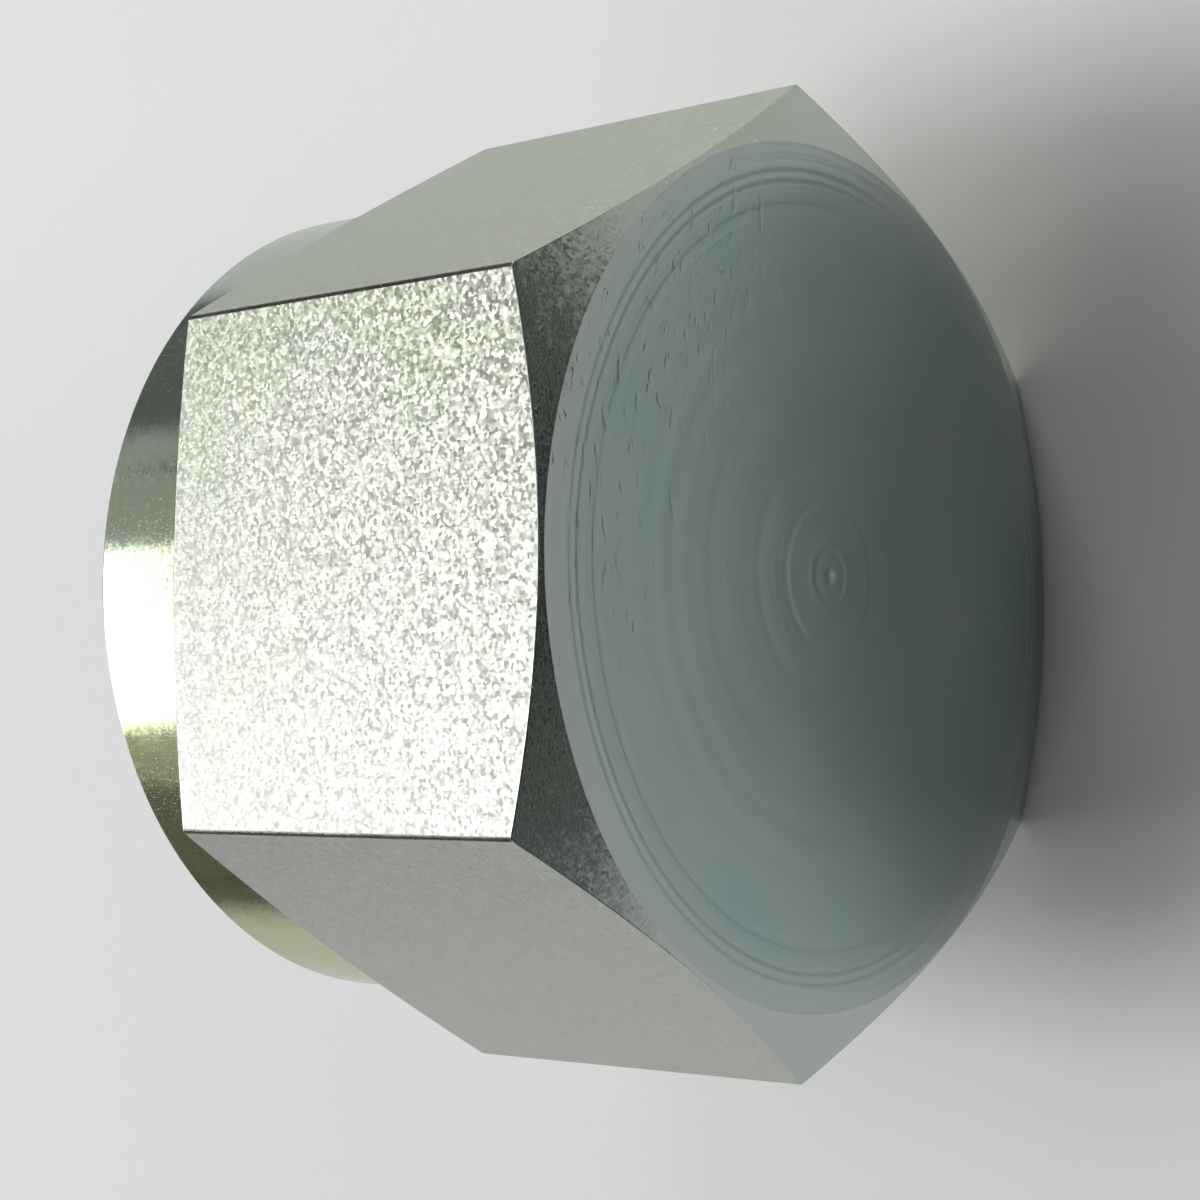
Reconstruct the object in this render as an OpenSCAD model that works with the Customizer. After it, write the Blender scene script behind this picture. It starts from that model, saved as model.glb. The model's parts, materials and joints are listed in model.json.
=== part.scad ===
// Hexagonal blanking cap for a 37 degree flare hydraulic fitting, turned in one piece
// from hexagon bar. It closes a 1-1/16 inch, 12 threads per inch male end.
// All sizes are in millimetres. The cap is drawn upright, mouth down on z = 0, and then
// laid on one of its flats with its axis along X and its closed end towards +X.

/* [Hexagon] */
// Size across the flats, which is the spanner's size
across_flats = 32; // [30:0.5:41]
// Length of the hexagon's corners, from the closed face to the shoulder
corner_length = 16.9; // [13:0.1:19]
// Slope of the shoulder at the open end of the hexagon, from square to the axis, in degrees
shoulder_angle = 15; // [5:1:30]

/* [Closed end] */
// Diameter of the flat middle of the closed face
face_dia = 29.8; // [24:0.1:30.4]
// Diameter at which the corner chamfer starts
chamfer_dia = 31.6; // [30.8:0.1:33]
// Depth of the shallow ring between the flat middle and the corner chamfer
ring_drop = 0.12; // [0.05:0.01:0.4]
// Slope of the corner chamfer, from square to the axis, in degrees
chamfer_angle = 25; // [15:1:35]
// Diameter of the faint dimple that the facing tool leaves on the axis
centre_dia = 0.7; // [0.4:0.1:3]
// Depth of that dimple
centre_depth = 0.06; // [0.04:0.02:0.6]

/* [Open end] */
// Length over all, from the closed face to the mouth
overall_length = 22.6; // [20:0.1:30]
// Diameter of the turned collar
collar_dia = 31.8; // [30.4:0.1:32]
// Width of the chamfer on the collar's outer edge
rim_chamfer = 1; // [0.3:0.1:1.6]

/* [Thread] */
// Major diameter of the female thread
thread_major = 26.99; // [22:0.01:27.2]
// Pitch of the female thread
thread_pitch = 2.117; // [1.5:0.001:2.2]
// How far the mouth's countersink stands outside the major diameter, on the radius
mouth_clearance = 0.4; // [0.2:0.05:0.7]
// How far the relief groove behind the thread stands outside the major diameter, on the radius
relief_clearance = 0.2; // [0.1:0.05:0.5]
// Width of the relief groove at the bore
relief_width = 2.6; // [2:0.1:4]

/* [Seat] */
// Half angle of the conical seat, between its wall and the axis, in degrees
seat_angle = 37; // [30:1:45]
// Diameter of the seat's wide end
seat_dia = 23.4; // [21:0.1:24]
// Diameter of the flat floor at the seat's narrow end
floor_dia = 16.4; // [12:0.1:18]
// Thickness of steel between the floor and the closed face
end_wall = 4; // [3:0.1:6]

/* [Hidden] */
// Fineness of the turned surfaces
$fn = 96;
// Depth of a 60 degree thread from its minor to its major diameter, in pitches
THREAD_DEPTH = 0.54127;
// How far a cutter or a blank runs past the surface that it leaves
PAST = 2;

corner_r = across_flats / 2 / cos(30);
blank_r = corner_r + PAST;
collar_r = collar_dia / 2;
shoulder_z = overall_length - corner_length;

bore_r = thread_major / 2 - THREAD_DEPTH * thread_pitch;
mouth_r = thread_major / 2 + mouth_clearance;
relief_r = thread_major / 2 + relief_clearance;
seat_depth = (seat_dia - floor_dia) / 2 / tan(seat_angle);
floor_z = overall_length - end_wall;
seat_z = floor_z - seat_depth;
thread_start_z = mouth_r - bore_r;
thread_end_z = seat_z - relief_width;

// Height of the open end's shoulder at a radius
function shoulder_height(r) = shoulder_z - (corner_r - r) * tan(shoulder_angle);

// Height of the closed end's corner chamfer at a radius
function chamfer_height(r) = overall_length - ring_drop - (r - chamfer_dia / 2) * tan(chamfer_angle);

// The bar that the cap is turned from
module hexagon_bar() {
    cylinder(r = corner_r, h = overall_length, $fn = 6);
}

// Everything that the lathe leaves on the outside: rim, collar, shoulder, chamfer, ring and face
module turned_outside() {
    rotate_extrude()
        polygon([
            [0, 0],
            [collar_r - rim_chamfer, 0],
            [collar_r, rim_chamfer],
            [collar_r, shoulder_height(collar_r)],
            [blank_r, shoulder_height(blank_r)],
            [blank_r, chamfer_height(blank_r)],
            [chamfer_dia / 2, overall_length - ring_drop],
            [face_dia / 2, overall_length],
            [0, overall_length]
        ]);
}

// The stepped bore: countersunk mouth, thread wall, relief groove, conical seat and floor
module turned_inside() {
    rotate_extrude()
        polygon([
            [0, -PAST],
            [mouth_r, -PAST],
            [mouth_r, 0],
            [bore_r, thread_start_z],
            [bore_r, thread_end_z],
            [relief_r, thread_end_z + relief_r - bore_r],
            [relief_r, seat_z],
            [seat_dia / 2, seat_z],
            [floor_dia / 2, floor_z],
            [0, floor_z]
        ]);
}

// The small cone that facing leaves in the middle of the closed end
module centre_dimple() {
    translate([0, 0, overall_length - centre_depth])
        cylinder(d1 = 0, d2 = centre_dia, h = centre_depth);
}

module cap_upright() {
    difference() {
        intersection() {
            hexagon_bar();
            turned_outside();
        }
        turned_inside();
        centre_dimple();
    }
}

// The finished cap, lying on a flat, with the middle of its footprint at the origin
module cap() {
    color("#b9bdb2")
        translate([-overall_length / 2, 0, across_flats / 2])
            rotate([0, 90, 0])
                rotate(30)
                    cap_upright();
}

cap();
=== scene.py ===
# %% [markdown]
# # A blanking cap turned from hexagon bar
# The cap closes the end of a hydraulic fitting. It is one piece of steel: a hexagon for the
# spanner, a flat closed end, and a round collar around a threaded mouth. It is zinc plated,
# and it lies on one of its flats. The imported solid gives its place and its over-all sizes.

# %% Load the frame
import json
import math

import bmesh
import bpy
from mathutils import Matrix, Vector


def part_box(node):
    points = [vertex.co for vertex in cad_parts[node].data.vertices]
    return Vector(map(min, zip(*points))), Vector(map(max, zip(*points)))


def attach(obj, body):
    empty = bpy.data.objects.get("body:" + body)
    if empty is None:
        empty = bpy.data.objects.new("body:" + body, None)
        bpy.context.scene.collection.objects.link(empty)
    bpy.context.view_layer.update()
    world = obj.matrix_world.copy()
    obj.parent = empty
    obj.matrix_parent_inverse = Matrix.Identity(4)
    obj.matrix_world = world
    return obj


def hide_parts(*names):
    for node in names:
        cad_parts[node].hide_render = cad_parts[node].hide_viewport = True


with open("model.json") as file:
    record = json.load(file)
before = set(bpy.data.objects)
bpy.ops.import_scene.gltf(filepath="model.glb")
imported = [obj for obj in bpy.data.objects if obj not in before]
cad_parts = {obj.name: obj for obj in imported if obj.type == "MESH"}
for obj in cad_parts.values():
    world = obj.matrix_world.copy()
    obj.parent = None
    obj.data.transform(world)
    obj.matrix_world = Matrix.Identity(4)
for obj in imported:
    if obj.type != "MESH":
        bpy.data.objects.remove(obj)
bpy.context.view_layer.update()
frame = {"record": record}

# %% [markdown]
# ## Sizes
# A turned part is drawn as stations along its axis and radii about it. The over-all sizes and
# the bore come from the frame, and the rest are the turner's own dimensions in millimetres.
# The axis runs along X, with the closed end towards +X.

# %% Sizes of the turned form
MM = 0.001
low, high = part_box("cap")
mounts = {m["name"]: m for m in frame["record"]["mounts"]}

ACROSS_FLATS = high.z - low.z
AXIS_Z = (high.z + low.z) / 2
FACE_X = high.x
MOUTH_X = low.x
CORNER_R = ACROSS_FLATS / 2 / math.cos(math.radians(30))

FACE_R = 14.9 * MM
RING_R = 15.8 * MM
RING_X = FACE_X - 0.12 * MM
DIMPLE_R = 0.35 * MM
DIMPLE_DEPTH = 0.06 * MM
CHAMFER_SLOPE = math.tan(math.radians(25))

SHOULDER_CORNER_X = FACE_X - 16.9 * MM
SHOULDER_SLOPE = math.tan(math.radians(15))
COLLAR_R = 15.9 * MM
RIM_CHAMFER = 1.0 * MM

BORE_R = mounts["thread"]["dims"]["r_mm"] * MM
THREAD_LENGTH = mounts["thread"]["dims"]["length_mm"] * MM
PITCH = 2.117 * MM
THREAD_R = 26.99 / 2 * MM
MOUTH_R = THREAD_R + 0.4 * MM
RELIEF_R = THREAD_R + 0.2 * MM
THREAD_START_X = MOUTH_X + MOUTH_R - BORE_R
THREAD_END_X = THREAD_START_X + THREAD_LENGTH
SEAT_X = THREAD_END_X + 2.6 * MM
SEAT_R = 11.7 * MM
FLOOR_R = 8.2 * MM
FLOOR_X = FACE_X - 4.0 * MM

print(f"{ACROSS_FLATS / MM:.1f} mm across flats, {(FACE_X - MOUTH_X) / MM:.1f} mm long")

# %% [markdown]
# ## The turned blank
# A lathe makes any form that is the same all the way round. Here the outline of half a section
# is laid out once, as a chain of edges from the middle of the closed face, over the outside,
# and back along the bore, and the spin operator sweeps it once around the axis. 288 steps put
# a line of points on every corner of the hexagon, and keep the collar round close up.

# %% Lay out the section and spin it
STEPS = 288
MERGED_WITHIN = 0.0005 * MM

SECTION = [
    (FACE_X - DIMPLE_DEPTH, 0),
    (FACE_X, DIMPLE_R),
    (FACE_X, FACE_R / 2),
    (FACE_X, FACE_R),
    (RING_X, RING_R),
    (RING_X - (CORNER_R - RING_R) * CHAMFER_SLOPE, CORNER_R),
    (SHOULDER_CORNER_X, CORNER_R),
    (SHOULDER_CORNER_X - (CORNER_R - COLLAR_R) * SHOULDER_SLOPE, COLLAR_R),
    (MOUTH_X + RIM_CHAMFER, COLLAR_R),
    (MOUTH_X, COLLAR_R - RIM_CHAMFER),
    (MOUTH_X, MOUTH_R),
    (THREAD_START_X, BORE_R),
    (THREAD_END_X, BORE_R),
    (THREAD_END_X + RELIEF_R - BORE_R, RELIEF_R),
    (SEAT_X, RELIEF_R),
    (SEAT_X, SEAT_R),
    (FLOOR_X, FLOOR_R),
    (FLOOR_X, 0),
]

AXIS = Vector((1, 0, 0))


def polar(point):
    """Radius and angle of a point about the X axis, the angle from +Y towards +Z."""
    return math.hypot(point.y, point.z), math.atan2(point.z, point.y)


def spun(bm, section, steps):
    """Sweep a chain of (x, radius) stations once around the X axis."""
    chain = [bm.verts.new((x, r, 0)) for x, r in section]
    edges = [bm.edges.new(pair) for pair in zip(chain, chain[1:])]
    bmesh.ops.spin(bm, geom=chain + edges, cent=(0, 0, 0), axis=AXIS, dvec=(0, 0, 0),
                   angle=math.tau, steps=steps, use_merge=True, use_duplicate=False)
    bmesh.ops.remove_doubles(bm, verts=bm.verts, dist=MERGED_WITHIN)


blank = bmesh.new()
spun(blank, SECTION, STEPS)
print("turned blank:", len(blank.verts), "points,", len(blank.faces), "faces")

# %% [markdown]
# ## The six flats
# The real bar is a hexagon before it meets the lathe, so the chamfer and the shoulder are cones
# that cut across flat sides, and each leaves a curved edge. The same curves come from the
# blank by sliding its two widest rings inwards along those cones, to where each line of points
# meets its flat. Nothing is cut, so the mesh stays an even grid that takes a bevel well.

# %% Slide the two widest rings onto the flats
SIXTH = math.tau / 6
TOLERANCE = 0.01 * MM


def flat_radius(angle):
    """Distance from the axis to the hexagon's outline, whose corners lie at 0, 60, 120 ... degrees."""
    from_middle = (angle % SIXTH) - SIXTH / 2
    return ACROSS_FLATS / 2 / math.cos(from_middle)


widest = [v for v in blank.verts if polar(v.co)[0] > CORNER_R - TOLERANCE]
for v in widest:
    r, angle = polar(v.co)
    new_r = flat_radius(angle)
    on_chamfer = v.co.x > (SHOULDER_CORNER_X + FACE_X) / 2
    slope = CHAMFER_SLOPE if on_chamfer else -SHOULDER_SLOPE
    v.co.x += (r - new_r) * slope
    v.co.y, v.co.z = new_r * math.cos(angle), new_r * math.sin(angle)

bmesh.ops.recalc_face_normals(blank, faces=blank.faces)
print("points slid onto the flats:", len(widest))

# %% [markdown]
# ## The thread
# A tap cuts a screw thread as one groove that winds up the bore. The same tool shape is made
# here: a blunt 60 degree tooth, spun about the axis while it advances by one pitch a turn. It
# starts outside the mouth and ends inside the relief groove, so it leaves no blind end. A
# Boolean takes it out of the blank, and the countersink gives the first turn its feathered lip.

# %% Wind the tap's tooth into a helix and cut the bore with it
TAP_STEPS = 96
TOOTH_ROOT = BORE_R - 0.3 * MM
TAP_FROM_X = MOUTH_X - 1.2 * MM
TAP_TO_X = THREAD_END_X + 1.5 * MM


def object_from(bm, name):
    """Turn a finished bmesh into an object in the scene."""
    mesh = bpy.data.meshes.new(name)
    bm.to_mesh(mesh)
    bm.free()
    made = bpy.data.objects.new(name, mesh)
    bpy.context.scene.collection.objects.link(made)
    return made


def applied(obj):
    """Give an object the mesh that its modifiers make, and take the modifiers off."""
    depsgraph = bpy.context.evaluated_depsgraph_get()
    mesh = bpy.data.meshes.new_from_object(obj.evaluated_get(depsgraph))
    obj.modifiers.clear()
    obj.data = mesh


tip = PITCH / 8
root = tip + 2 * (THREAD_R - TOOTH_ROOT) * math.tan(math.radians(30))
tooth_section = [(-root / 2, TOOTH_ROOT), (root / 2, TOOTH_ROOT),
                 (tip / 2, THREAD_R), (-tip / 2, THREAD_R)]
turns = (TAP_TO_X - TAP_FROM_X) / PITCH

tooth = bmesh.new()
corners = [tooth.verts.new((TAP_FROM_X + x, r, 0)) for x, r in tooth_section]
first = tooth.faces.new(corners)
bmesh.ops.spin(tooth, geom=[first, *first.edges, *corners], cent=(0, 0, 0), axis=AXIS,
               dvec=(PITCH / TAP_STEPS, 0, 0), angle=turns * math.tau,
               steps=round(turns * TAP_STEPS), use_merge=False, use_duplicate=False)
bmesh.ops.holes_fill(tooth, edges=tooth.edges, sides=4)
bmesh.ops.recalc_face_normals(tooth, faces=tooth.faces)
open_edges = sum(not e.is_manifold for e in tooth.edges)
tap = object_from(tooth, "tap")

cap = object_from(blank, "hexagon_cap")
cut = cap.modifiers.new("tap", "BOOLEAN")
cut.operation, cut.object, cut.solver = "DIFFERENCE", tap, "EXACT"
applied(cap)
bpy.data.objects.remove(tap)
print(f"thread: {turns:.1f} turns, tool has {open_edges} open edges; cap has {len(cap.data.polygons)} faces")

# %% [markdown]
# ## Softened edges
# No edge on a real fitting is a knife edge. Drawn bar has corners of about half a millimetre
# radius, and tumbling and plating take a tenth of a millimetre off the turned edges. Those
# bright or dark hairlines make the piece look solid, so every outside edge gets a bevel weight,
# and one Bevel modifier rounds them all. The edges inside the bore stay as the tools cut them:
# they are only marked sharp, so that smooth shading stops there.

# %% Weigh the outside edges and bevel them
BEVEL = 0.34 * MM
CORNER_WEIGHT = 1.0
TURNED_WEIGHT = 0.45
ROUND_STEPS = 3
LEAST_TURN = math.radians(5)
SHARP_TURN = math.radians(12)
RUNS_ALONG_AXIS = 0.99

worked = bmesh.new()
worked.from_mesh(cap.data)
weights = worked.edges.layers.float.new("bevel_weight_edge")
counts = {"bar corners": 0, "turned edges": 0, "sharp inside": 0}
for e in worked.edges:
    inside = max(polar(v.co)[0] for v in e.verts) < MOUTH_R - TOLERANCE
    on_face = min(v.co.x for v in e.verts) > FACE_X - DIMPLE_DEPTH
    if not e.is_manifold or e.calc_face_angle() < LEAST_TURN:
        continue
    if inside and not on_face:
        e.smooth = e.calc_face_angle() < SHARP_TURN
        counts["sharp inside"] += not e.smooth
        continue
    along_axis = abs((e.verts[1].co - e.verts[0].co).normalized().dot(AXIS))
    on_corner = along_axis > RUNS_ALONG_AXIS
    e[weights] = CORNER_WEIGHT if on_corner else TURNED_WEIGHT
    counts["bar corners" if on_corner else "turned edges"] += 1
for f in worked.faces:
    f.smooth = True
worked.to_mesh(cap.data)
worked.free()

bevel = cap.modifiers.new("softened_edges", "BEVEL")
bevel.limit_method = "WEIGHT"
bevel.width = BEVEL
bevel.segments = ROUND_STEPS
bevel.profile = 0.5
bevel.use_clamp_overlap = True
bevel.harden_normals = True
applied(cap)
print("edges softened:", counts, "| faces now:", len(cap.data.polygons))

# %% [markdown]
# ## Where each finish lies
# The lathe, the drawing die and the tap leave different surfaces on the same steel, and zinc
# follows them all. Each face is given its finish by where it is and which way it looks.

# %% Sort the faces by finish and set the cap in its place
FINISHES = ["drawn_flat", "drawn_corner", "faced_end", "turned_edge", "turned_collar", "tapped_bore"]
SQUARE_TO_A_FLAT = math.cos(math.radians(1.5))
LOOKS_OUT = 0.9
LEANS = 0.1
INSIDE_R = MOUTH_R + 0.05 * MM
INSIDE_X = FACE_X - 1 * MM
COLLAR_OUT_TO = COLLAR_R + 0.02 * MM


def finish_of(centre, normal):
    """Which finish a face has, from its middle and its direction."""
    r, angle = polar(centre)
    if r < INSIDE_R and centre.x < INSIDE_X:
        return "tapped_bore"
    if r < RING_R and normal.x > LOOKS_OUT:
        return "faced_end"
    if abs(normal.x) > LEANS:
        return "turned_edge"
    if r < COLLAR_OUT_TO and centre.x < SHOULDER_CORNER_X:
        return "turned_collar"
    middle_of_flat = (math.floor(angle / SIXTH) + 0.5) * SIXTH
    off_square = math.cos(math.atan2(normal.z, normal.y) - middle_of_flat)
    return "drawn_flat" if off_square > SQUARE_TO_A_FLAT else "drawn_corner"


shaped = bmesh.new()
shaped.from_mesh(cap.data)
tally = dict.fromkeys(FINISHES, 0)
for f in shaped.faces:
    finish = finish_of(f.calc_center_median(), f.normal)
    f.material_index = FINISHES.index(finish)
    tally[finish] += 1
bmesh.ops.translate(shaped, verts=shaped.verts, vec=(0, 0, AXIS_Z))
loose = sum(not e.is_manifold for e in shaped.edges)
shaped.to_mesh(cap.data)
shaped.free()

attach(cap, "root")
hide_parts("cap")
print("faces by finish:", tally, "| open edges:", loose)

# %% [markdown]
# ## Writing materials
# A finish is a small tree of shader nodes, and a few helpers keep such a tree readable. One turns
# a written colour into the linear values that the renderer works in, one adds a node with its
# settings and whatever feeds it, and one starts a material. The last joins up plated metal, which
# all six finishes are: only the tint, the roughness and the fine relief set them apart.

# %% Helpers for colours and nodes
def srgb(code):
    """A colour written as sRGB hex, as linear red, green, blue and alpha."""
    parts = [int(code[i:i + 2], 16) / 255 for i in (1, 3, 5)]
    return tuple(c / 12.92 if c <= 0.04045 else ((c + 0.055) / 1.055) ** 2.4 for c in parts) + (1.0,)


def add(tree, kind, inputs=None, **settings):
    """Add one node with its settings. Each input is a value, or the node or output that feeds it."""
    made = tree.nodes.new("ShaderNode" + kind)
    for name, value in settings.items():
        setattr(made, name, value)
    sockets = {s.identifier: s for s in made.inputs}
    for name, source in (inputs or {}).items():
        if isinstance(source, bpy.types.Node):
            source = next(out for out in source.outputs if out.enabled)
        if isinstance(source, bpy.types.NodeSocket):
            tree.links.new(source, sockets[name])
        else:
            sockets[name].default_value = source
    return made


def new_material(name):
    """An empty material, its node tree, and the coordinates of the object that it is on."""
    made = bpy.data.materials.new(name)
    made.use_nodes = True
    made.node_tree.nodes.clear()
    return made, made.node_tree, add(made.node_tree, "TexCoord").outputs["Object"]


def plated(tree, tint, roughness, height):
    """Plated metal: a tinted mirror, blurred by roughness and bent by a height in metres."""
    bump = add(tree, "Bump", {"Height": height, "Strength": 1.0, "Distance": 1.0})
    shader = add(tree, "BsdfPrincipled",
                 {"Base Color": tint, "Metallic": 1.0, "Roughness": roughness, "Normal": bump})
    add(tree, "OutputMaterial", {"Surface": shader})


# %% [markdown]
# ## Zinc on drawn bar
# The flats are never machined. They keep the skin of the pickled, drawn bar, which is a field
# of small etched grains, and the plating follows each one. Every grain tilts its own way, so
# under a bright window some flash and their neighbours stay dark. A Voronoi cell with its own
# slope does that: the height is a plane through each cell, tilted by the cell's random colour.
# Handling has rubbed the flats a little smoother towards the mouth.

# %% Patterns of the drawn bar
GRAIN_MM = 0.13


def per_metre(size_mm):
    """The texture scale at which one cell or wave is this many millimetres wide."""
    return 1 / (size_mm * MM)


def grain_height(tree, coords, slope):
    """Height of a surface made of flat grains, each tilted at random by up to about this slope."""
    cells = add(tree, "TexVoronoi", {"Vector": coords, "Scale": per_metre(GRAIN_MM)})
    from_middle = add(tree, "VectorMath", {"Vector": coords, "Vector_001": cells.outputs["Position"]},
                      operation="SUBTRACT")
    tilt = add(tree, "VectorMath", {"Vector": cells.outputs["Color"], "Vector_001": (0.5, 0.5, 0.5)},
               operation="SUBTRACT")
    height = add(tree, "VectorMath", {"Vector": from_middle, "Vector_001": tilt}, operation="DOT_PRODUCT")
    return add(tree, "Math", {"Value": height, "Value_001": 2 * slope}, operation="MULTIPLY")


def clouded(tree, coords, size_mm, low, high):
    """A soft noise of this size, stretched to run between two values."""
    cloud = add(tree, "TexNoise", {"Vector": coords, "Scale": per_metre(size_mm), "Detail": 3.0})
    return add(tree, "MapRange", {"Value": cloud, "From Min": 0.3, "From Max": 0.7,
                                  "To Min": low, "To Max": high})


def faded(tree, amount, *fades):
    """An amount, multiplied by a share for each pair of a value and the range that it fades over."""
    for value, over in fades:
        share = add(tree, "MapRange", {"Value": value, **over})
        amount = add(tree, "Math", {"Value": amount, "Value_001": share}, operation="MULTIPLY")
    return amount


# %% Material: zinc on drawn bar
SIDE_TINT_SPAN = {"From Min": -9 * MM, "From Max": 9 * MM}
FLAT_FILM_MM = 3.0
FLAT_MOTTLE_MM = 0.5
RUBBED = {"From Min": -6 * MM, "From Max": 9 * MM, "To Min": 0.6, "To Max": 1.15}
FLAT_SLOPE = 0.16
FLAT_ROUGHNESS = (0.38, 0.46)
CORNER_SLOPE = 0.05
CORNER_ROUGHNESS = (0.22, 0.32)
ZINC_PALE = "#c6c8c2"
ZINC_GREENISH = "#c4c9b9"
CORNER_PAINTED_SHADE = "#8f9186"
CORNER_PAINTED_DEEP_SHADE = "#6f7166"


# The change of tint from the -Y side to the +Y side is partly the plating film's own colour and partly
# painted light: it stands in for the tint of the light and reflections on each side.
def tinted_by_side(tree, coords, size_mm, one, other):
    """Two tints, the first at the side of -Y and the second at +Y, softly clouded: partly the film's own
    tint, partly painted light colour on each side.
    """
    side = add(tree, "SeparateXYZ", {"Vector": coords}).outputs["Y"]
    across = add(tree, "MapRange", {"Value": side, **SIDE_TINT_SPAN})
    mixed = add(tree, "Math", {"Value": across, "Value_001": clouded(tree, coords, size_mm, -0.3, 0.3)},
                operation="ADD")
    return add(tree, "Mix", {"Factor_Float": mixed, "A_Color": srgb(one), "B_Color": srgb(other)},
               data_type="RGBA")


def drawn_flat():
    """Zinc over the etched skin of drawn bar: grainy and sparkling, smoother near the mouth."""
    made, tree, coords = new_material("zinc_on_drawn_bar")
    along_bar = add(tree, "SeparateXYZ", {"Vector": coords}).outputs["X"]
    height = faded(tree, grain_height(tree, coords, FLAT_SLOPE), (along_bar, RUBBED))
    # Partly painted light colour: the tint changes from the -Y flat to the +Y flat.
    tint = tinted_by_side(tree, coords, FLAT_FILM_MM, ZINC_PALE, ZINC_GREENISH)
    plated(tree, tint, clouded(tree, coords, FLAT_MOTTLE_MM, *FLAT_ROUGHNESS), height)
    return made


def drawn_corner():
    """Zinc over the rounded corner of the bar, smoother than the flats, and tinted dark as painted shade for
    the dark room that the corner mirrors.
    """
    made, tree, coords = new_material("zinc_on_bar_corner")
    # The dark tint is painted shade: it widens the dark line that the rounded corners mirror from the room.
    tint = add(tree, "Mix", {"Factor_Float": clouded(tree, coords, FLAT_FILM_MM, 0.0, 1.0),
                             "A_Color": srgb(CORNER_PAINTED_SHADE), "B_Color": srgb(CORNER_PAINTED_DEEP_SHADE)}, data_type="RGBA")
    roughness = clouded(tree, coords, FLAT_MOTTLE_MM, *CORNER_ROUGHNESS)
    plated(tree, tint, roughness, grain_height(tree, coords, CORNER_SLOPE))
    return made


# %% [markdown]
# ## Zinc on turned steel
# A turning tool leaves one fine spiral groove: rings on the closed end, hoops on the collar.
# Plating fills the groove almost level, so what shows is a soft sheen drawn out across the
# marks. A one-dimensional noise along the tool's travel gives grooves of uneven depth. The
# real feed is about 0.1 mm a turn, which is just wide enough to draw as it is. On the closed
# end, the rings are deeper at the rim, where the tool starts, and in the middle, where it stops.

# %% Patterns of the lathe
FEED_MM = 0.12
MICRON = 0.001 * MM
MIDDLE = (0, 0, AXIS_Z)
OUTWARDS, LENGTHWAYS = (0, 1, 1), (1, 0, 0)


def distance(tree, coords, scale, centre):
    """Distance from a centre, counted only along the directions that have a scale."""
    moved = add(tree, "Mapping", {"Vector": coords, "Scale": scale,
                                  "Location": tuple(-c * s for c, s in zip(centre, scale))})
    return add(tree, "VectorMath", {"Vector": moved}, operation="LENGTH")


def grooved(tree, travel, pitch_mm, depth, below):
    """The height below, with grooves along the tool's way, about this far apart and this deep."""
    wave = add(tree, "TexNoise", {"W": travel, "Scale": per_metre(pitch_mm), "Detail": 1.0},
               noise_dimensions="1D")
    return add(tree, "Math", {"Value": wave, "Value_001": depth, "Value_002": below},
               operation="MULTIPLY_ADD")


# %% Material: zinc on the faced end
FEED_DEPTH = 1.5 * MICRON
WAVE_MM = 1.3
WAVE_DEPTH = 20 * MICRON
RIM_RING_MM = 0.4
RIM_RING_DEPTH = 38 * MICRON
MIDDLE_RING_MM = 0.8
MIDDLE_RING_DEPTH = 52 * MICRON
NICK_MM = 0.4
NICK_DEPTH = 22 * MICRON
NICK_SHOWS = {"From Min": 0.60, "From Max": 0.72}
NICKED_ABOVE = {"From Min": 17 * MM, "From Max": 23 * MM}
NICKED_ACROSS = {"From Min": -6 * MM, "From Max": 7 * MM, "To Min": 0.2}
NICKED_OUT = {"From Min": 7.5 * MM, "From Max": 12.5 * MM}
RIM_GROOVED = {"From Min": 12.6 * MM, "From Max": 14.4 * MM}
MIDDLE_GROOVED = {"From Min": 5.0 * MM, "From Max": 1.5 * MM}
RIM_PAINTED_HIGHLIGHT = {"From Min": 13.8 * MM, "From Max": 14.9 * MM}
FACE_ROUGHNESS = (0.14, 0.20)
TURNED_FILM_MM = 5.0
TURNED_MOTTLE_MM = 1.5
ZINC_BLUE = "#a6bab8"
ZINC_GREY = "#b0beba"
ZINC_WHITE = "#b4bfbc"


def nicks(tree, coords, travel):
    """Height of sparse short marks near the closed face's upper rim, from parts rubbing in a tray."""
    drawn_out = add(tree, "Mapping", {"Vector": coords, "Scale": (1, 0.5, 1)})
    spots = add(tree, "TexNoise", {"Vector": drawn_out, "Scale": per_metre(NICK_MM), "Detail": 2.0})
    place = add(tree, "SeparateXYZ", {"Vector": coords}).outputs
    return faded(tree, -NICK_DEPTH, (spots, NICK_SHOWS), (place["Z"], NICKED_ABOVE),
                 (place["Y"], NICKED_ACROSS), (travel, NICKED_OUT))


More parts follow.
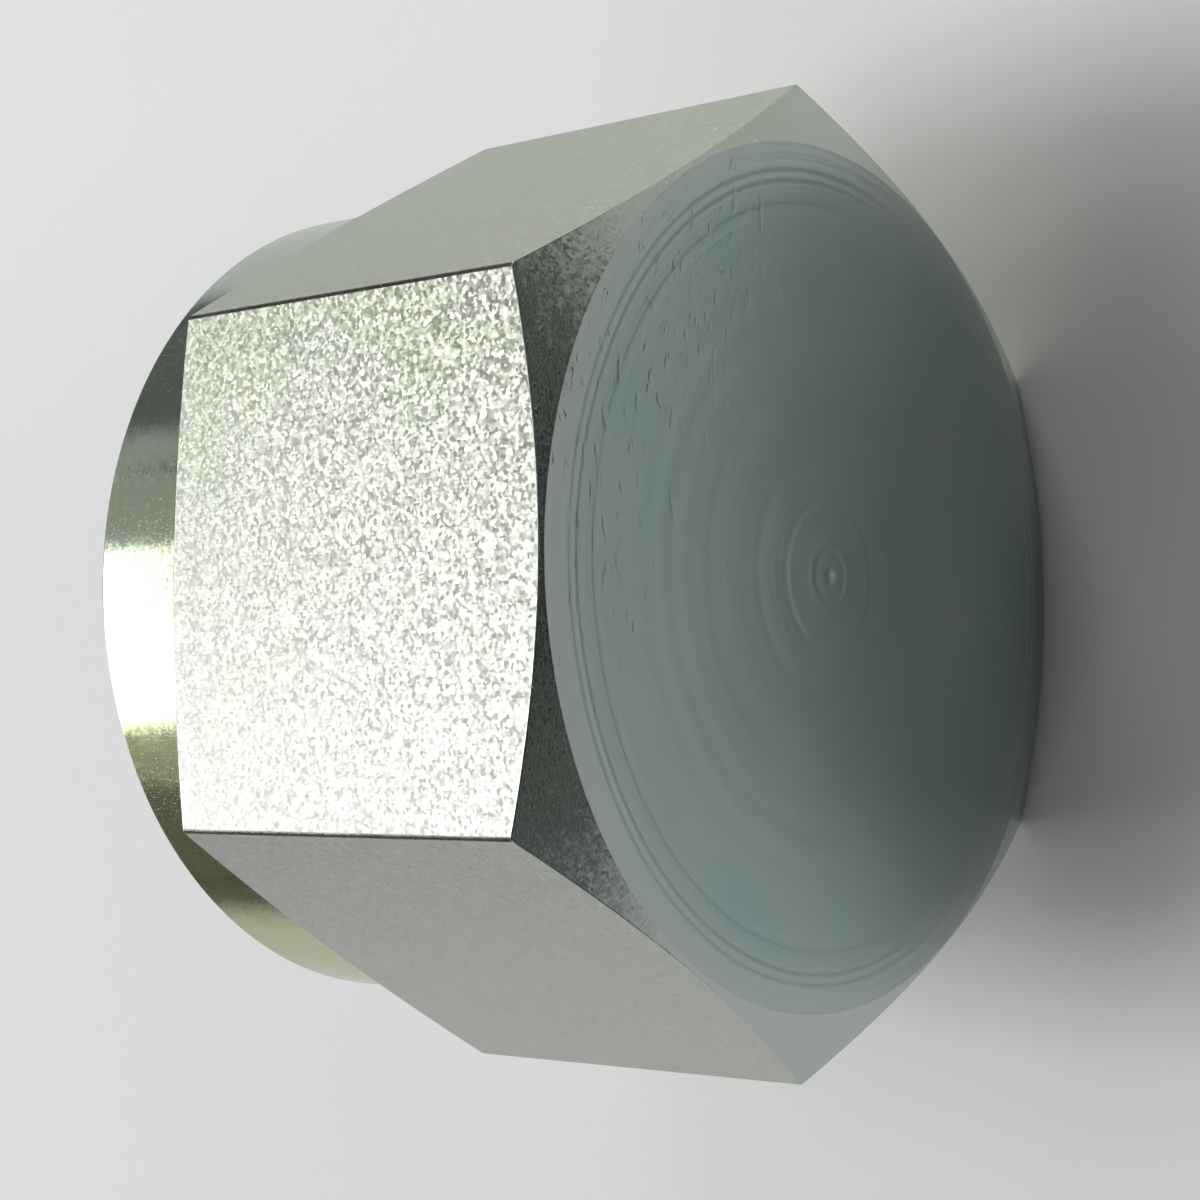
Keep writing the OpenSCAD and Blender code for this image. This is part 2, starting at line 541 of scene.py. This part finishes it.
def faced_end():
    """Zinc over the faced end: fine rings on soft waves, deeper at rim and middle, with nicks, and a painted
    highlight at the rim.
    """
    made, tree, coords = new_material("zinc_on_faced_end")
    travel = distance(tree, coords, OUTWARDS, MIDDLE)
    rim_depth = faded(tree, RIM_RING_DEPTH, (travel, RIM_GROOVED))
    middle_depth = faded(tree, MIDDLE_RING_DEPTH, (travel, MIDDLE_GROOVED))
    height = grooved(tree, travel, FEED_MM, FEED_DEPTH, nicks(tree, coords, travel))
    height = grooved(tree, travel, WAVE_MM, WAVE_DEPTH, height)
    height = grooved(tree, travel, RIM_RING_MM, rim_depth, height)
    height = grooved(tree, travel, MIDDLE_RING_MM, middle_depth, height)
    film = add(tree, "Mix", {"Factor_Float": clouded(tree, coords, TURNED_FILM_MM, 0.0, 1.0),
                             "A_Color": srgb(ZINC_GREY), "B_Color": srgb(ZINC_BLUE)}, data_type="RGBA")
    # Towards the edge of the face the tint turns paler: a painted highlight along the rim.
    rim = add(tree, "MapRange", {"Value": travel, **RIM_PAINTED_HIGHLIGHT})
    tint = add(tree, "Mix", {"Factor_Float": rim, "A_Color": film, "B_Color": srgb(ZINC_WHITE)},
               data_type="RGBA")
    plated(tree, tint, clouded(tree, coords, TURNED_MOTTLE_MM, *FACE_ROUGHNESS), height)
    return made


# %% Materials: zinc on the turned sides
ROUGHNESS_SPREAD = 0.04
ZINC_COOL = "#c3cbc7"
ZINC_MINT = "#c1cabd"
ZINC_GREEN = "#b9c4b7"
ZINC_OLIVE = "#bdc498"


def turned(name, way, tints, roughness, groove_depth, slope):
    """Zinc over a turned side: hoops along the tool's way, and a little of the steel's grain."""
    made, tree, coords = new_material(name)
    travel = distance(tree, coords, way, MIDDLE)
    height = grooved(tree, travel, FEED_MM, groove_depth, grain_height(tree, coords, slope))
    smoother, rougher = roughness - ROUGHNESS_SPREAD, roughness + ROUGHNESS_SPREAD
    mottle = clouded(tree, coords, TURNED_MOTTLE_MM, smoother, rougher)
    plated(tree, tinted_by_side(tree, coords, TURNED_FILM_MM, *tints), mottle, height)
    return made


materials = {
    "drawn_flat": drawn_flat(),
    "drawn_corner": drawn_corner(),
    "faced_end": faced_end(),
    "turned_edge": turned("zinc_on_turned_edge", OUTWARDS, (ZINC_COOL, ZINC_MINT),
                          roughness=0.17, groove_depth=1.5 * MICRON, slope=0.03),
    # The olive tint at the -Y side of the collar, below its highlight, is partly the film's own colour and
    # partly a painted reflection of what the collar mirrors there.
    "turned_collar": turned("zinc_on_turned_collar", LENGTHWAYS, (ZINC_OLIVE, ZINC_GREEN),
                            roughness=0.13, groove_depth=0.5 * MICRON, slope=0.01),
    "tapped_bore": turned("zinc_on_tapped_bore", LENGTHWAYS, (ZINC_WHITE, ZINC_GREENISH),
                          roughness=0.34, groove_depth=2.0 * MICRON, slope=0.03),
}
for finish in FINISHES:
    cap.data.materials.append(materials[finish])
print("finishes:", [m.name for m in cap.data.materials])

# %% [markdown]
# ## Table and room
# The cap lies on a pale sheet in a dim room. Metal shows what stands around it, so the sheet is
# pale only as far as a real sheet would reach: past that, mirror rays find the dark room, while
# the camera sees the sheet run on into a pale backdrop. One plane with a Light Path in its
# material is both. A painted pool of daylight, a glow that only the camera sees, lifts one part of the sheet
# near the cap.

# %% The sheet that the cap lies on
FLOOR_HALF_SIDE = 1.5
FLOOR_HEX = "#f2f3f3"
FLOOR_SEEN_HEX = "#fefefe"
BLACK_HEX = "#000000"
PAPER_ROUGHNESS = 0.9
SHEET_CENTRE = (-0.02, 0.035, 0)
SHEET_ENDS = {"From Min": 0.11, "From Max": 0.20}
ROOM_HEX = "#50524e"
BACKDROP_HEX = "#dcddde"
BACKDROP_RISES = {"From Min": 0.08, "From Max": 0.45}
LEVEL = (1, 1, 0)
PAINTED_DAYLIGHT = 0.07
DAYLIT_SIDE = {"From Min": 5 * MM, "From Max": 30 * MM}
DAYLIT_BEHIND = {"From Min": 15 * MM, "From Max": -15 * MM}
DAYLIT_NEAR = {"From Min": 0.0, "From Max": 0.4, "To Min": 1.0, "To Max": 0.0}

sheet = bmesh.new()
bmesh.ops.create_grid(sheet, x_segments=1, y_segments=1, size=FLOOR_HALF_SIDE)
floor = object_from(sheet, "floor")
floor_material, tree, coords = new_material("pale_sheet")
place = add(tree, "SeparateXYZ", {"Vector": coords}).outputs
ray = add(tree, "LightPath").outputs
mirrored, seen = ray["Is Glossy Ray"], ray["Is Camera Ray"]
far_off = add(tree, "MapRange", {"Value": distance(tree, coords, LEVEL, (0, 0, 0)), **BACKDROP_RISES})
past_sheet = add(tree, "MapRange", {"Value": distance(tree, coords, LEVEL, SHEET_CENTRE), **SHEET_ENDS})
backdrop = add(tree, "Math", {"Value": far_off, "Value_001": seen}, operation="MULTIPLY")
beyond = add(tree, "Math", {"Value": past_sheet, "Value_001": mirrored, "Value_002": backdrop},
             operation="MULTIPLY_ADD")
# A painted pool of daylight: a glow that only the camera sees, on one part of the sheet near the cap.
painted_daylight = faded(tree, PAINTED_DAYLIGHT, (place["Y"], DAYLIT_SIDE), (place["X"], DAYLIT_BEHIND), (far_off, DAYLIT_NEAR))
glow = add(tree, "Math", {"Value": painted_daylight, "Value_001": seen, "Value_002": beyond}, operation="MULTIPLY_ADD")
sheet_tone = add(tree, "Mix", {"Factor_Float": seen, "A_Color": srgb(FLOOR_HEX),
                               "B_Color": srgb(FLOOR_SEEN_HEX)}, data_type="RGBA")
paper_tone = add(tree, "Mix", {"Factor_Float": beyond, "A_Color": sheet_tone,
                               "B_Color": srgb(BLACK_HEX)}, data_type="RGBA")
glow_tone = add(tree, "Mix", {"Factor_Float": seen, "A_Color": srgb(ROOM_HEX),
                              "B_Color": srgb(BACKDROP_HEX)}, data_type="RGBA")
paper = add(tree, "BsdfPrincipled", {"Base Color": paper_tone, "Roughness": PAPER_ROUGHNESS,
                                     "Emission Color": glow_tone, "Emission Strength": glow})
add(tree, "OutputMaterial", {"Surface": paper})
floor.data.materials.append(floor_material)
print("mirror rays see the sheet fade from", SHEET_ENDS["From Min"], "to", SHEET_ENDS["From Max"], "m")

# %% The room around it
WALL_BEHIND_HEX = "#6b6d6b"
WALL_IN_FRONT_HEX = "#383a38"
WALLS_TURN = {"From Min": -0.2, "From Max": 0.5}

world = bpy.data.worlds.new("room")
bpy.context.scene.world = world
world.use_nodes = True
tree = world.node_tree
tree.nodes.clear()
direction = add(tree, "SeparateXYZ", {"Vector": add(tree, "TexCoord").outputs["Generated"]}).outputs
in_front = add(tree, "MapRange", {"Value": direction["X"], **WALLS_TURN})
walls = add(tree, "Mix", {"Factor_Float": in_front, "A_Color": srgb(WALL_BEHIND_HEX),
                          "B_Color": srgb(WALL_IN_FRONT_HEX)}, data_type="RGBA")
seen = add(tree, "LightPath").outputs["Is Camera Ray"]
air_tone = add(tree, "Mix", {"Factor_Float": seen, "A_Color": walls, "B_Color": srgb(BACKDROP_HEX)},
               data_type="RGBA")
air = add(tree, "Background", {"Color": air_tone, "Strength": 1.0})
add(tree, "OutputWorld", {"Surface": air})
print("walls:", WALL_BEHIND_HEX, "behind the mouth and", WALL_IN_FRONT_HEX, "before the closed end")

# %% [markdown]
# ## Windows and camera
# A tall window stands behind the mouth, with panes at several heights, and there is a window at
# each side. All are plain soft rectangles at one distance, so that each can be set by its own
# direction, size and power. Each flat faces another way and mirrors other lights, which sets the
# flats apart in tone. The camera stands close and is rolled a quarter turn, so that the cap's
# axis runs across the picture.

# %% Windows
AIM = Vector((0.3, -0.4, 15.8)) * MM
LIGHTS_AT = 0.6
# Azimuth and elevation in degrees, width and height in metres, power in watts
LIGHTS = {
    "window": (-23, 60, 0.255, 0.105, 0.875),
    "skylight": (-2, 70, 0.410, 0.169, 0.51),
    "lower_pane": (-9, 36, 0.357, 0.147, 0.50),
    "curtain": (-7, 34, 0.660, 0.212, 0.132),
    "side_pane": (31, 28, 0.084, 0.084, 0.007),
    "room_fill": (140, 50, 0.500, 0.400, 0.063),
    "right_window": (80, 12, 0.207, 0.212, 0.890),
    "left_window": (-80, 12, 0.315, 0.212, 0.52),
    "low_lamp": (-14, 12, 0.249, 0.212, 0.50),
}


def turned_to(place, target, up_hint):
    """A matrix that stands at place, looks at target, and has up_hint upwards."""
    back = (place - target).normalized()
    right = up_hint.cross(back).normalized()
    rows = Matrix((right, back.cross(right), back)).transposed()
    return Matrix.Translation(place) @ rows.to_4x4()


def soft_light(name, azimuth, elevation, width, height, watts):
    """A soft rectangular light, its azimuth in degrees from behind the mouth towards +Y."""
    across, up = math.radians(azimuth), math.radians(elevation)
    way = Vector((-math.cos(across) * math.cos(up), math.sin(across) * math.cos(up), math.sin(up)))
    lamp = bpy.data.lights.new(name, "AREA")
    lamp.shape = "RECTANGLE"
    lamp.size, lamp.size_y = width, height
    lamp.energy = watts
    light = bpy.data.objects.new(name, lamp)
    bpy.context.scene.collection.objects.link(light)
    light.matrix_world = turned_to(AIM + way * LIGHTS_AT, AIM, Vector((0, 0, 1)))
    light.visible_camera = False


for name, settings in LIGHTS.items():
    soft_light(name, *settings)
print("lights:", ", ".join(LIGHTS))

# %% Camera
PICTURE_SIDE = 1200
FOCAL_PIXELS = 2502
SENSOR_MM = 36
NEAREST_SEEN = 5 * MM
EYE = Vector((62.5, -6.8, 91.6)) * MM

camera_data = bpy.data.cameras.new("camera")
camera_data.sensor_width = SENSOR_MM
camera_data.lens = SENSOR_MM * FOCAL_PIXELS / PICTURE_SIDE
camera_data.clip_start = NEAREST_SEEN
camera = bpy.data.objects.new("camera", camera_data)
bpy.context.scene.collection.objects.link(camera)
camera.matrix_world = turned_to(EYE, AIM, Vector((0, 1, 0)))
bpy.context.scene.camera = camera
bpy.context.scene.view_settings.view_transform = "Standard"
print(f"camera {(EYE - AIM).length / MM:.0f} mm from its aim, lens {camera_data.lens:.1f} mm")
